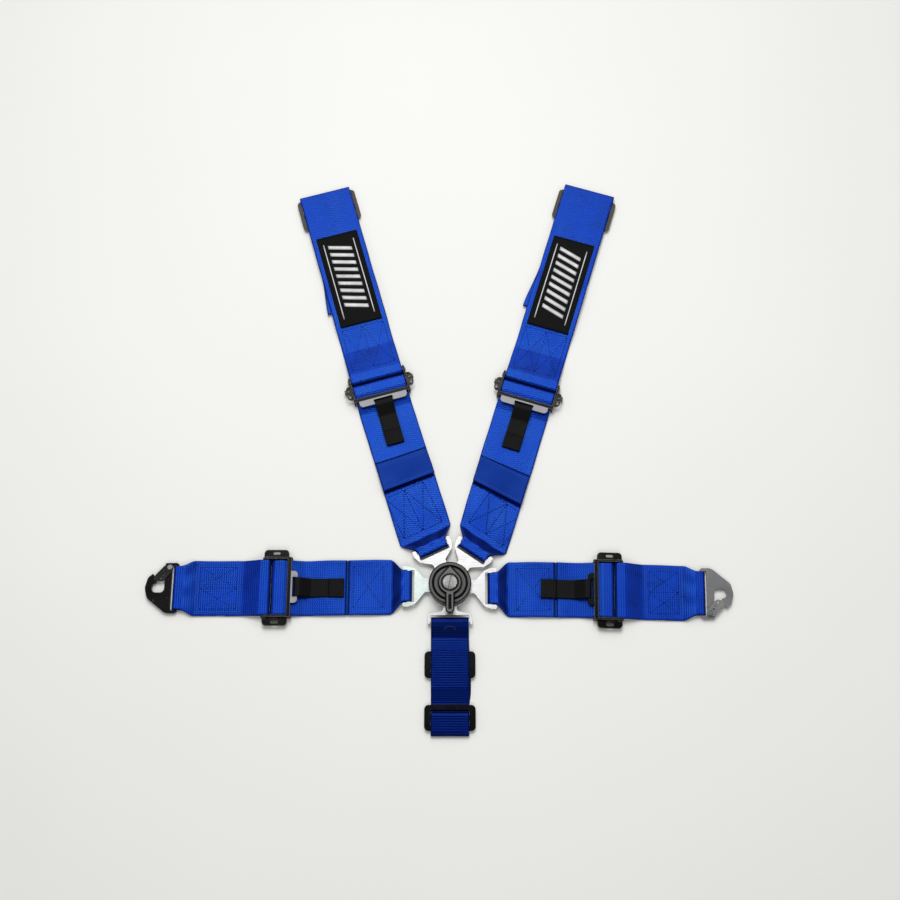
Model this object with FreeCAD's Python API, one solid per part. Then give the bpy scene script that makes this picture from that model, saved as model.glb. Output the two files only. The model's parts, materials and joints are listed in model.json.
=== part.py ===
"""Five-point racing harness with a cam-lock buckle, laid out flat.

Millimetres. +Z is up from the surface that the harness lies on, and the origin is the
centre of the buckle's back face. +Y runs towards the shoulder straps. Each arm of the
harness is built in frames of its own: local +X runs away from the buckle, along the
webbing, and local +Y across it.
"""
import FreeCAD, Part
import math
import os

# Webbing
WEB = 76.2                    # 3 inch shoulder and lap webbing
WEB_CROTCH = 50.8             # 2 inch crotch webbing
PLY = 1.5                     # thickness of one layer
PLY_GAP = 0.3                 # air between two layers of one strap
LOW = PLY / 2                 # centre height of the layer on the surface
HIGH = LOW + PLY + PLY_GAP    # centre height of the layer above it
BEND = 6.0                    # centreline radius of a gentle bend
RUN = 0.3                     # clearance of a loop around its bar

# Buckle
HOUSING_R = 28.5
DIAL_R = 28.75
BASE_TOP = 6.0
COVER_BOTTOM = 9.6
COVER_TOP = 16.0
DIAL_BOTTOM = 16.3
DIAL_TOP = 20.3
LEVER_TOP = 23.4
GROOVE_R = 23.0
GROOVE_W = 1.6
LEVER_EYE_R = 15.3
LEVER_APEX = 23.0
LEVER_TAIL_W = 10.5
LEVER_TAIL_END = 41.5
SCREW_R = 9.5
PIVOT_RING_R = 11.4
TAIL_GROOVE_W = 0.6           # the pair of grooves down the lever's tail
TAIL_GROOVE_X = 1.1
PAD = (-39.5, -31.0)          # where the pad under the tail lies along it

# Tongues
PLATE = 3.0
TONGUE_Z = 6.3
TONGUE_AXIS_Z = TONGUE_Z + PLATE / 2
NECK_W = 18.4
NECK_CLEAR = 0.5
NOSE_W = 9.0                  # a tongue narrows from its neck to its inner end
NOSE_END = 21.5               # where the neck is at its full width, from the centre
TONGUE_INNER = 12.8           # inner end of a tongue, from the buckle's centre
BAR_HALF = 2.25               # half the bar that the webbing loops around
SLOT_LEN = 5.2
LATCH_HOLE_R = 3.2
LATCH_HOLE_AT = 18.5
LOOP_R = 1.2 * BAR_HALF + RUN + PLY / 2   # centreline radius of webbing around such a bar
TRIM_Z = (-5.0, 20.0)         # heights of the prisms that trim webbing to its outline
TAPER_START = 7.0             # webbing is folded narrow up to here, then widens
TAPER_END = 26.0
LOOP_W = 42.0                 # webbing width where it is folded in at a tongue

# Adjusters: x is measured from a point in the frame, towards the anchor
LOCK_X = 8.0
LOCK_R = 3.5
LOCK_Z = PLY + RUN + LOCK_R
REAR_R = 3.0
LOCK_HALF = {"shoulder": 50.5, "lap": 42.1}
REAR_X = 21.0
REAR_Z = 7.0
LOCK_TRAVEL = 2.5
FLANGE_IN = 38.8
FLANGE_T = 2.5
FLANGE_TOP = 13.0
FRAME_FRONT = -14.0
FRAME_BACK = 27.0
CROSS_X = (-13.0, -8.0)       # cross-member between the flanges, with the lip in front of it
CROSS_Z = 11.0
CROSS_T = 2.0
LIP_HALF = {"shoulder": 34.5, "lap": 22.0}
LIP_SLOT = (-19.0, -15.0)
EAR_Z = {"shoulder": 9.3, "lap": 6.2}
EAR_T = 2.4
# Ears: start and end along the arm, reach across it, and the slot's width, place and length
EARS = {"shoulder": (-7.0, 13.5, 48.6, 3.4, 45.0, 14.0), "lap": (-9.0, 25.0, 52.5, 3.6, 47.3, 9.5)}
LEVER_FRONT = -22.0
LEVER_BAR_X = -20.5
TAB_W = 25.4
TAB_PLY = 1.2
TAB_LEN = 64.0
TAB_Z = 4.6                   # centre height of a pull tab's lower layer
STRAP_JOIN = -34.0            # where a lower strap's lock-bar loop meets its flat run

# Anchor ends
SLIDE_CENTRE_Z = 2.0          # top of a 3-bar slide's lowered centre bar
SLIDE_FRAME_Z = 4.1
SLIDE_T = 2.0
SLIDE_BAR = 6.0               # width of a slide's outer bars
SLIDE_CENTRE_W = 7.0
TAIL_Z = 3.05                 # centre height of a tail that runs through a slide
OVER_Z = 7.15                 # centre height of the layer that passes over a slide
FOLD_R = (OVER_Z - TAIL_Z) / 2
WOVEN_SLIDE_Z = 3.6           # underside of the lower crotch slide, which the tail weaves through
WOVEN_Z = WOVEN_SLIDE_Z + SLIDE_T + 0.15 + PLY / 2
PATCH_AT = 86.0               # from the rear bar
PATCH_LEN = 149.0
PATCH_HALF = 31.0
PATCH_T = 0.9
HOOK_Z = 3.0                  # underside of a snap-hook plate
HOOK_AXIS_Z = HOOK_Z + PLATE / 2
HOOK_LOOP_W = 60.0
HOOK_HALF = 35.0
GATE_T = 1.5
GATE_GAP = 0.2
GATE_HOLES = ((15.5, -22.0), (18.5, -17.0), (21.5, -12.5))
RIVET_R = 2.5
RIVET_AT = (10.5, -28.0)      # gate rivet, in a snap hook's frame
EYE_X = (17.0, 34.0)          # a snap hook's eye, in its frame
EYE_Y = (-6.5, 6.5)

# Where each tongue bar and each adjuster lies: x, y and heading in degrees
TONGUES = {
    "shoulder_left": (-23.0, 49.0, 115.5),
    "shoulder_right": (31.5, 45.7, 55.5),
    "lap_left": (-56.0, -2.3, 180.0),
    "lap_right": (55.5, -5.5, 0.0),
    "crotch": (0.0, -49.7, 270.0),
}
ADJUSTERS = {
    "shoulder_left": (-99.5, 285.5, 105.8),
    "shoulder_right": (110.2, 276.7, 73.0),
    "lap_left": (-229.0, -4.0, 180.0),
    "lap_right": (209.0, -7.5, -1.7),
}
SEWN = {"shoulder_left": 0.29, "shoulder_right": 0.29, "lap_left": 0.50, "lap_right": 0.66}
FLAP = {"shoulder_left": 0.41, "shoulder_right": 0.36, "lap_left": 0.52, "lap_right": 0.68}
SHOULDER_REACH = {"shoulder_left": 310.0, "shoulder_right": 325.0}
LAP_REACH = {"lap_left": 122.0, "lap_right": 112.0}
CROTCH_REACH = 153.0
CROTCH_TAIL_END = 23.5
# 3-bar slides: arm, place along it (from the rear bar or the tongue bar), length, width, webbing
SLIDES = {
    "slide_shoulder_left": ("shoulder_left", 279.0, 50.0, 88.0, WEB),
    "slide_shoulder_right": ("shoulder_right", 290.0, 50.0, 88.0, WEB),
    "slide_crotch_upper": ("crotch", 59.0, 36.0, 68.0, WEB_CROTCH),
    "slide_crotch_lower": ("crotch", 129.0, 34.0, 68.0, WEB_CROTCH),
}

V = FreeCAD.Vector


# ---------------------------------------------------------------- helpers

def placed(shape, frame):
    """A copy of a shape, moved from its local frame to where the frame lies."""
    x, y, heading = frame
    copy = shape.copy()
    move = FreeCAD.Placement(V(x, y, 0), FreeCAD.Rotation(V(0, 0, 1), heading))
    copy.Placement = move.multiply(copy.Placement)
    return copy


def world(frame, x, y):
    """A local point of a frame, in the row's own axes."""
    ox, oy, heading = frame
    c, s = math.cos(math.radians(heading)), math.sin(math.radians(heading))
    return V(ox + x * c - y * s, oy + x * s + y * c, 0)


def fuse(*shapes):
    """One clean solid out of several that meet."""
    whole = shapes[0]
    for other in shapes[1:]:
        whole = whole.fuse(other)
    return whole.removeSplitter()


def block(x0, x1, y0, y1, z0, z1):
    return Part.makeBox(x1 - x0, y1 - y0, z1 - z0, V(x0, y0, z0))


def disc(radius, z0, z1, x=0.0, y=0.0):
    return Part.makeCylinder(radius, z1 - z0, V(x, y, z0), V(0, 0, 1))


def bar(radius, half, x, z):
    """A round bar across an arm, from -half to +half."""
    return Part.makeCylinder(radius, 2 * half, V(x, -half, z), V(0, 1, 0))


def corner(before, point, after, radius):
    """Tangent points, centre and turn of a rounded corner."""
    u = (before - point).normalize()
    w = (after - point).normalize()
    half = 0.5 * u.getAngle(w)
    reach = radius / math.tan(half)
    centre = point + (u + w).normalize() * (radius / math.sin(half))
    return point + u * reach, point + w * reach, centre


def rounded_face(corners):
    """A face in the XY plane from (x, y, corner radius) points."""
    points = [V(x, y, 0) for x, y, r in corners]
    edges = []
    ends = []
    for i, (x, y, radius) in enumerate(corners):
        here = points[i]
        if radius <= 0:
            ends.append((here, here, None))
            continue
        start, stop, centre = corner(points[i - 1], here, points[(i + 1) % len(points)], radius)
        mid = centre + (here - centre).normalize() * radius
        ends.append((start, stop, mid))
    for i, (start, stop, mid) in enumerate(ends):
        if mid is not None:
            edges.append(Part.Arc(start, mid, stop).toShape())
        following = ends[(i + 1) % len(ends)][0]
        if stop.distanceToPoint(following) > 1e-6:
            edges.append(Part.LineSegment(stop, following).toShape())
    return Part.Face(Part.Wire(Part.__sortEdges__(edges)))


def slab(corners, z0, z1):
    """A flat plate with rounded corners."""
    return rounded_face(corners).extrude(V(0, 0, z1 - z0)).translated(V(0, 0, z0))


def rounded_block(x0, x1, y0, y1, radius, z0, z1):
    """A rectangular plate with four corners of one radius."""
    return slab([(x0, y0, radius), (x1, y0, radius), (x1, y1, radius), (x0, y1, radius)], z0, z1)


def side(path, offset):
    """Edges beside an open path of (x, z, radius) points, offset to its left."""
    points = [V(x, 0, z) for x, z, r in path]
    across = V(0, -1, 0)
    edges = []
    first = points[0] + across.cross(points[1] - points[0]).normalize() * offset
    last = points[-1] + across.cross(points[-1] - points[-2]).normalize() * offset
    here = first
    for i in range(1, len(path) - 1):
        start, stop, centre = corner(points[i - 1], points[i], points[i + 1], path[i][2])
        near = across.cross(points[i] - points[i - 1]).normalize()
        outward = (start - centre).normalize()
        radius = path[i][2] + offset * outward.dot(near)
        spokes = [outward, (points[i] - centre).normalize(), (stop - centre).normalize()]
        arc = [centre + spoke * radius for spoke in spokes]
        if here.distanceToPoint(arc[0]) > 1e-6:
            edges.append(Part.LineSegment(here, arc[0]).toShape())
        edges.append(Part.Arc(*arc).toShape())
        here = arc[2]
    edges.append(Part.LineSegment(here, last).toShape())
    return edges, first, last


def ribbon(path, width, ply=PLY):
    """Webbing that follows a path in the XZ plane, square across Y."""
    left, left_start, left_end = side(path, ply / 2)
    right, right_start, right_end = side(path, -ply / 2)
    caps = [Part.LineSegment(left_start, right_start).toShape(),
            Part.LineSegment(left_end, right_end).toShape()]
    face = Part.Face(Part.Wire(Part.__sortEdges__(left + right + caps)))
    return face.extrude(V(0, width, 0)).translated(V(0, -width / 2, 0))


def hairpin(x, z, radius, outward):
    """Two path corners that take webbing around a bar at x, z, from above to below."""
    edge = x + outward * radius
    return [(edge, z + radius, radius), (edge, z - radius, radius)]


def strip(start, end, width, s0, s1, z):
    """A flat layer between two frames' cross lines, from fraction s0 to s1."""
    sides = []
    for sign in (-1, 1):
        a = world(start[0], start[1], sign * width / 2)
        b = world(end[0], end[1], sign * width / 2)
        sides.append((a + (b - a) * s0, a + (b - a) * s1))
    (p, q), (t, r) = sides
    return slab([(v.x, v.y, 0) for v in (p, q, r, t)], z - PLY / 2, z + PLY / 2)


# ---------------------------------------------------------------- buckle

def channel(frame, z0, z1):
    """The slot through the housing that one tongue slides in."""
    x, y, heading = frame
    angle = math.degrees(math.atan2(y, x))
    half = NECK_W / 2 + NECK_CLEAR
    return placed(block(TONGUE_INNER - 3.5, HOUSING_R + 5, -half, half, z0, z1), (0, 0, angle))


def buckle_base():
    body = disc(HOUSING_R, 0, COVER_BOTTOM)
    for frame in TONGUES.values():
        body = body.cut(channel(frame, BASE_TOP, COVER_BOTTOM + 1))
    rim = [e for e in body.Edges if e.BoundBox.ZMax < 0.01]
    return body.makeChamfer(1.0, rim)


def buckle_cover():
    ring = disc(HOUSING_R, COVER_BOTTOM, COVER_TOP)
    return ring.cut(disc(HOUSING_R - 4, COVER_BOTTOM + 2.5, COVER_TOP + 1))


def buckle_dial():
    body = disc(DIAL_R, DIAL_BOTTOM, DIAL_TOP)
    groove = disc(GROOVE_R + GROOVE_W / 2, DIAL_TOP - 0.8, DIAL_TOP + 1)
    groove = groove.cut(disc(GROOVE_R - GROOVE_W / 2, DIAL_TOP - 1, DIAL_TOP + 1))
    rim = disc(DIAL_R + 1, DIAL_TOP - 1.2, DIAL_TOP + 1)
    cone = Part.makeCone(DIAL_R + 0.6, DIAL_R - 1.2, 1.8, V(0, 0, DIAL_TOP - 1.2))
    stub = disc(HOUSING_R - 8, COVER_BOTTOM + 3.0, DIAL_BOTTOM)
    return fuse(body.cut(groove).cut(rim.cut(cone)), stub)


def release_lever():
    """Teardrop ring with its point towards the shoulders and a tail towards the crotch."""
    tangent = math.acos(LEVER_EYE_R / LEVER_APEX)
    tx = LEVER_EYE_R * math.sin(tangent)
    ty = LEVER_EYE_R * math.cos(tangent)
    apex = slab([(0, LEVER_APEX, 1.2), (-tx, ty, 0), (tx, ty, 0)], DIAL_TOP, LEVER_TOP)
    eye = disc(LEVER_EYE_R, DIAL_TOP, LEVER_TOP)
    half = LEVER_TAIL_W / 2
    tip = [(-half, -LEVER_TAIL_END, half - 0.2), (half, -LEVER_TAIL_END, half - 0.2)]
    beyond = -DIAL_R - 0.6
    tail = slab([(-half, -10, 0), *tip, (half, -10, 0)], DIAL_TOP, LEVER_TOP)
    lip = slab([(-half, beyond, 0), *tip, (half, beyond, 0)], DIAL_BOTTOM + 1.2, DIAL_TOP)
    body = fuse(eye, apex, tail, lip)
    for x in (-TAIL_GROOVE_X, TAIL_GROOVE_X):
        body = body.cut(block(x - TAIL_GROOVE_W / 2, x + TAIL_GROOVE_W / 2, -LEVER_TAIL_END + 5,
                              -LEVER_EYE_R - 1.7, LEVER_TOP - 0.5, LEVER_TOP + 1))
    return body.cut(disc(PIVOT_RING_R, DIAL_TOP - 1, LEVER_TOP + 1))


def pivot_ring():
    return disc(PIVOT_RING_R, DIAL_TOP, LEVER_TOP + 0.4).cut(disc(SCREW_R, DIAL_TOP - 1, LEVER_TOP + 1))


def pivot_screw():
    head = disc(SCREW_R, DIAL_TOP, LEVER_TOP + 0.8)
    slot = block(-0.8, 0.8, -SCREW_R, SCREW_R, LEVER_TOP - 0.2, LEVER_TOP + 1)
    return head.cut(placed(slot, (0, 0, -12)))


def lever_tail_pad():
    half = LEVER_TAIL_W / 2 - 0.8
    return rounded_block(-half, half, *PAD, 2, DIAL_BOTTOM - 1.8, DIAL_BOTTOM + 1.2)


def tongue(name):
    """Flat plate: a neck that enters the buckle, horns, and a slot and bar for webbing."""
    frame = TONGUES[name]
    crotch = name == "crotch"
    head = 30.6 if crotch else 28.5
    loop = (WEB_CROTCH if crotch else LOOP_W) / 2
    inverse = FreeCAD.Placement(V(*frame[:2], 0), FreeCAD.Rotation(V(0, 0, 1), frame[2])).inverse()
    centre = inverse.multVec(V(0, 0, 0))
    along = (V(0, 0, 0) - centre).normalize()
    across = V(-along.y, along.x, 0)
    throat = HOUSING_R + (8.0 if crotch else 6.0)
    nose = [centre + along * TONGUE_INNER + across * s * NOSE_W / 2 for s in (1, -1)]
    inner = [centre + along * NOSE_END + across * s * NECK_W / 2 for s in (1, -1)]
    outer = [centre + along * throat + across * s * NECK_W / 2 for s in (1, -1)]
    horn = 5.0 if crotch else 8.5
    notch = loop + 1.6
    flare, flare_half = -9.0, notch + 2.0
    tip = 0.42 * (head - notch)
    corners = [
        (outer[0].x, outer[0].y, 4.5), (flare, flare_half, 4.0), (0.5, head, 3.0), (horn, head, tip),
        (horn, notch, tip), (BAR_HALF, notch, 0), (BAR_HALF, -notch, 0), (horn, -notch, tip),
        (horn, -head, tip), (0.5, -head, 3.0), (flare, -flare_half, 4.0), (outer[1].x, outer[1].y, 4.5),
        (inner[1].x, inner[1].y, 3.0), (nose[1].x, nose[1].y, 2.0),
        (nose[0].x, nose[0].y, 2.0), (inner[0].x, inner[0].y, 3.0)]
    plate = slab(corners, TONGUE_Z, TONGUE_Z + PLATE)
    room = notch - 0.6
    slot = rounded_block(-BAR_HALF - SLOT_LEN, -BAR_HALF, -room, room, 1.5, *TRIM_Z)
    hole = centre + along * LATCH_HOLE_AT
    return placed(plate.cut(slot).cut(disc(LATCH_HOLE_R, *TRIM_Z, hole.x, hole.y)), frame)


# ---------------------------------------------------------------- lower straps and adjusters

def tongue_loop():
    """Both layers of webbing around a tongue's bar, trimmed to the folded-in width."""
    path = [(TAPER_END, HIGH, 0), (TAPER_END - 4, HIGH, BEND), (9, TONGUE_AXIS_Z + LOOP_R, BEND)]
    path += hairpin(0, TONGUE_AXIS_Z, LOOP_R, -1)
    path += [(9, TONGUE_AXIS_Z - LOOP_R, BEND), (TAPER_END - 4, LOW, BEND), (TAPER_END, LOW, 0)]
    narrow, wide = LOOP_W / 2, WEB / 2
    outline = [(-20, -narrow), (TAPER_START, -narrow), (TAPER_END, -wide)]
    outline += [(x, -y) for x, y in reversed(outline)]
    return ribbon(path, WEB).common(slab([(x, y, 0) for x, y in outline], *TRIM_Z))


def lock_loop():
    """Webbing around the lock bar: the strap comes in low and its tail leaves on top."""
    radius = LOCK_R + RUN + PLY / 2
    path = [(STRAP_JOIN, HIGH, 0), (STRAP_JOIN + 4, HIGH, BEND), (LOCK_X - 9, LOCK_Z + radius, BEND)]
    path += hairpin(LOCK_X, LOCK_Z, radius, 1)
    path += [(STRAP_JOIN, LOCK_Z - radius, 0)]
    return ribbon(path, WEB)


def lower_strap(name):
    start = (TONGUES[name], TAPER_END)
    end = (ADJUSTERS[name], STRAP_JOIN)
    return fuse(placed(tongue_loop(), TONGUES[name]),
                strip(start, end, WEB, 0, 1, LOW),
                strip(start, end, WEB, 0, SEWN[name], HIGH),
                strip(start, end, WEB, FLAP[name], 1, HIGH),
                placed(lock_loop(), ADJUSTERS[name]))


def arm_kind(name):
    return name.split("_")[0]


def ear(name):
    """The slotted ear outside one flange, on the +Y side."""
    x0, x1, reach, slot_w, slot_at, slot_len = EARS[arm_kind(name)]
    root = FLANGE_IN + FLANGE_T
    z = EAR_Z[arm_kind(name)]
    plate = slab([(x0, root, 0), (x1, root, 0), (x1, reach, 5.5), (x0, reach, 5.5)], z, z + EAR_T)
    middle = (x0 + x1) / 2
    return plate.cut(rounded_block(middle - slot_len / 2, middle + slot_len / 2, slot_at - slot_w / 2,
                                   slot_at + slot_w / 2, 0.48 * slot_w, *TRIM_Z))


def flange():
    """Upright side plate on the +Y side, with the lock bar's slot and the rear bar's hole."""
    profile = slab([(FRAME_FRONT, 0.2, 2), (FRAME_BACK, 0.2, 4), (FRAME_BACK, FLANGE_TOP, 6),
                    (FRAME_FRONT, FLANGE_TOP, 3)], 0, FLANGE_T)
    upright = profile.copy()
    upright.Placement = FreeCAD.Placement(V(0, FLANGE_IN + FLANGE_T, 0), FreeCAD.Rotation(V(1, 0, 0), 90))
    slot_r = LOCK_R + 0.05
    y0, y1 = FLANGE_IN - 1, FLANGE_IN + FLANGE_T + 1
    stop = LOCK_X + LOCK_TRAVEL
    slot = Part.makeCylinder(slot_r, y1 - y0, V(LOCK_X, y0, LOCK_Z), V(0, 1, 0))
    far = Part.makeCylinder(slot_r, y1 - y0, V(stop, y0, LOCK_Z), V(0, 1, 0))
    between = block(LOCK_X, stop, y0, y1, LOCK_Z - slot_r, LOCK_Z + slot_r)
    seat = Part.makeCylinder(REAR_R, y1 - y0, V(REAR_X, y0, REAR_Z), V(0, 1, 0))
    return upright.cut(fuse(slot, between, far)).cut(seat)


def adjuster_frame(name):
    side_plate = fuse(flange(), ear(name).cut(bar_ends(name)))
    other = side_plate.mirror(V(0, 0, 0), V(0, 1, 0))
    reach = FLANGE_IN + FLANGE_T
    cross = block(*CROSS_X, -reach, reach, CROSS_Z, CROSS_Z + CROSS_T)
    return placed(fuse(side_plate, cross, other), ADJUSTERS[name])


def bar_ends(name):
    """Room beside a flange for the ends of both bars."""
    y0 = FLANGE_IN + FLANGE_T
    lock, rear = LOCK_R + 0.7, REAR_R + 0.4
    top = LOCK_Z + LOCK_R + 0.3
    room = block(LOCK_X - lock, LOCK_X + LOCK_TRAVEL + lock, y0, LOCK_HALF[arm_kind(name)] + 0.8, 0, top)
    return fuse(room, block(REAR_X - rear, REAR_X + rear, y0, y0 + 1.6, 0, REAR_Z + rear))


def lock_bar(name):
    return placed(bar(LOCK_R, LOCK_HALF[arm_kind(name)], LOCK_X, LOCK_Z), ADJUSTERS[name])


def rear_bar(name):
    return placed(bar(REAR_R, FLANGE_IN + FLANGE_T + 1.2, REAR_X, REAR_Z), ADJUSTERS[name])


def lever_plate(name):
    """The lip that the pull tab lifts, wide at the shoulders and narrow at the laps."""
    half = LIP_HALF[arm_kind(name)]
    outline = [(LEVER_FRONT, -half, 5), (CROSS_X[0], -half, 0), (CROSS_X[0], half, 0), (LEVER_FRONT, half, 5)]
    plate = slab(outline, CROSS_Z, CROSS_Z + CROSS_T)
    slot_half = TAB_W / 2 + 1.2
    return placed(plate.cut(rounded_block(*LIP_SLOT, -slot_half, slot_half, 1.2, *TRIM_Z)), ADJUSTERS[name])


def pull_tab(name):
    """Narrow webbing looped through the lip, both ends sewn together."""
    radius = 1.9 + RUN + TAB_PLY / 2
    z = CROSS_Z + CROSS_T / 2
    end = LEVER_BAR_X - TAB_LEN
    low, high = TAB_Z, TAB_Z + TAB_PLY + PLY_GAP
    path = [(end, high, 0), (LEVER_BAR_X - 20, high, BEND), (LEVER_BAR_X - 4, z + radius, BEND)]
    path += hairpin(LEVER_BAR_X, z, radius, 1)
    path += [(LEVER_BAR_X - 4, z - radius, 3.0), (LEVER_BAR_X - 17, low, BEND), (end, low, 0)]
    return placed(ribbon(path, TAB_W, TAB_PLY), ADJUSTERS[name])


# ---------------------------------------------------------------- anchor straps

def rear_path(end):
    """Path around the rear bar: it starts below at end and leaves on top."""
    radius = REAR_R + RUN + PLY / 2
    path = [(REAR_X + end, LOW, 0), (REAR_X + 26, LOW, BEND), (REAR_X + 9, REAR_Z - radius, BEND)]
    path += reversed(hairpin(REAR_X, REAR_Z, radius, -1))
    path += [(REAR_X + 9, REAR_Z + radius, BEND), (REAR_X + 32, HIGH, BEND)]
    return path


def shoulder_anchor(name):
    """Sewn around the adjuster's rear bar, folded at the top, tail back under itself."""
    far = REAR_X + SHOULDER_REACH[name] - PLY / 2
    path = rear_path(60)
    path += [(REAR_X + 66, HIGH, BEND), (REAR_X + 80, OVER_Z, BEND)]
    path += [(far, OVER_Z, FOLD_R), (far, TAIL_Z, FOLD_R), (REAR_X + 113, TAIL_Z, 0)]
    return placed(ribbon(path, WEB), ADJUSTERS[name])


def shoulder_patch(name):
    """Sewn-on cover patch on the upper face of the shoulder strap."""
    x0 = REAR_X + PATCH_AT
    z = OVER_Z + PLY / 2
    patch = rounded_block(x0, x0 + PATCH_LEN, -PATCH_HALF, PATCH_HALF, 2, z, z + PATCH_T)
    return placed(patch, ADJUSTERS[name])


def lap_anchor(name):
    """Short strap sewn around the adjuster's rear bar and the snap hook's bar."""
    hook = REAR_X + LAP_REACH[name]
    middle = LAP_REACH[name] / 2
    path = rear_path(middle - 6)
    path += [(hook - 26, HIGH, BEND), (hook - 8, HOOK_AXIS_Z + LOOP_R, BEND)]
    path += hairpin(hook, HOOK_AXIS_Z, LOOP_R, 1)
    path += [(REAR_X + middle + 6, LOW, 0)]
    narrow, wide = HOOK_LOOP_W / 2, WEB / 2
    outline = [(0, -wide), (hook - 24, -wide), (hook - TAPER_START, -narrow), (hook + 20, -narrow)]
    outline += [(x, -y) for x, y in reversed(outline)]
    trim = slab([(x, y, 0) for x, y in outline], *TRIM_Z)
    return placed(ribbon(path, WEB).common(trim), ADJUSTERS[name])


def crotch_strap():
    """Two-inch strap sewn around the tongue, folded at its lower end, its tail on top.

    The tail passes under the lower slide's first bar and over its other two.
    """
    fold = (WOVEN_Z - LOW) / 2
    far = CROTCH_REACH - PLY / 2
    at, length = SLIDES["slide_crotch_lower"][1:3]
    first = at - length / 2 + SLIDE_BAR + 0.5
    centre = at - SLIDE_CENTRE_W / 2 - 1
    path = [(22, LOW, 0), (18, LOW, BEND), (9, TONGUE_AXIS_Z - LOOP_R, BEND)]
    path += reversed(hairpin(0, TONGUE_AXIS_Z, LOOP_R, -1))
    path += [(6, TONGUE_AXIS_Z + LOOP_R, BEND), (20, TAIL_Z, BEND), (82, TAIL_Z, BEND), (92, LOW, BEND),
             (far, LOW, fold), (far, WOVEN_Z, fold), (centre, WOVEN_Z, BEND / 2), (first, HIGH, BEND / 2),
             (106, HIGH, BEND), (92, OVER_Z, BEND), (CROTCH_TAIL_END, OVER_Z, 0)]
    return placed(ribbon(path, WEB_CROTCH), TONGUES["crotch"])


def slide_ring(length, width, web, z):
    a, b = length / 2, width / 2
    inner = web / 2 + 0.5
    ring = rounded_block(-a, a, -b, b, SLIDE_BAR, z, z + SLIDE_T)
    return ring.cut(rounded_block(-a + SLIDE_BAR, a - SLIDE_BAR, -inner, inner, 1.5, *TRIM_Z))


def woven_slide(length, width, web):
    """Flat buckle with its three bars in one plane."""
    half, root = SLIDE_CENTRE_W / 2, web / 2 + 1.5
    centre = block(-half, half, -root, root, WOVEN_SLIDE_Z, WOVEN_SLIDE_Z + SLIDE_T)
    return fuse(slide_ring(length, width, web, WOVEN_SLIDE_Z), centre)


def dropped_slide(length, width, web):
    """Flat buckle with two outer bars over the tail and a lowered bar under it."""
    b = width / 2
    inner = web / 2 + 0.5
    top = SLIDE_FRAME_Z + SLIDE_T
    half, root = SLIDE_CENTRE_W / 2, inner + 0.4
    centre = block(-half, half, -root, root, 0, SLIDE_CENTRE_Z)
    leg = block(-half, half, inner, b - 0.4, 0, top)
    ring = slide_ring(length, width, web, SLIDE_FRAME_Z)
    return fuse(ring, leg, leg.mirror(V(0, 0, 0), V(0, 1, 0)), centre)


def slide(name):
    arm, at, length, width, web = SLIDES[name]
    shape = (woven_slide if name == "slide_crotch_lower" else dropped_slide)(length, width, web)
    if arm == "crotch":
        return placed(shape.translated(V(at, 0, 0)), TONGUES[arm])
    return placed(shape.translated(V(REAR_X + at, 0, 0)), ADJUSTERS[arm])


def hook_frame(name):
    """The frame whose origin is the middle of a snap hook's bar."""
    heading = ADJUSTERS[name][2]
    at = world(ADJUSTERS[name], REAR_X + LAP_REACH[name], 0)
    return at.x, at.y, heading


def snap_hook(name):
    """Plate with a bar for the webbing, an eye for the anchor bolt and an open throat."""
    boss_x, boss_y = RIVET_AT
    outline = [(-BAR_HALF, -HOOK_HALF, 5), (boss_x + 6, boss_y - 6.5, 6), (40, -14, 9), (43.5, 0, 12),
               (40, 14, 10), (14, HOOK_HALF, 12), (-BAR_HALF, HOOK_HALF, 5)]
    plate = slab(outline, HOOK_Z, HOOK_Z + PLATE)
    room = HOOK_LOOP_W / 2 + 0.8
    slot = rounded_block(BAR_HALF, BAR_HALF + SLOT_LEN, -room, room, 1.5, *TRIM_Z)
    eye = rounded_block(*EYE_X, *EYE_Y, 6, *TRIM_Z)
    throat = slab([(EYE_X[0], 0, 0), (EYE_X[0], -50, 0), (60, -50, 0), (43, -19.5, 0), (33, -19.5, 4),
                   (28, -12, 2), (28, 0, 0)], *TRIM_Z)
    rivet = disc(RIVET_R, *TRIM_Z, *RIVET_AT)
    return placed(plate.cut(slot).cut(eye).cut(throat).cut(rivet), hook_frame(name))


def hook_gate(name):
    """Spring-loaded gate that closes the throat, on top of the plate."""
    z = HOOK_Z + PLATE + GATE_GAP
    gate = slab([(5.5, -33.5, 4), (17.5, -31, 5), (31, -16, 3), (30.5, -9.5, 3), (19.5, -8.5, 4),
                 (7, -23, 3)], z, z + GATE_T)
    for x, y in GATE_HOLES:
        gate = gate.cut(disc(1.3, *TRIM_Z, x, y))
    return placed(gate.cut(disc(RIVET_R + 0.05, *TRIM_Z, *RIVET_AT)), hook_frame(name))


def hook_rivet(name):
    z = HOOK_Z + PLATE + GATE_GAP + GATE_T + 0.1
    shank = disc(RIVET_R, HOOK_Z, z, *RIVET_AT)
    head = disc(RIVET_R + 0.9, z, z + 1.4, *RIVET_AT)
    return placed(fuse(shank, head), hook_frame(name))


# ---------------------------------------------------------------- all nodes

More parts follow.
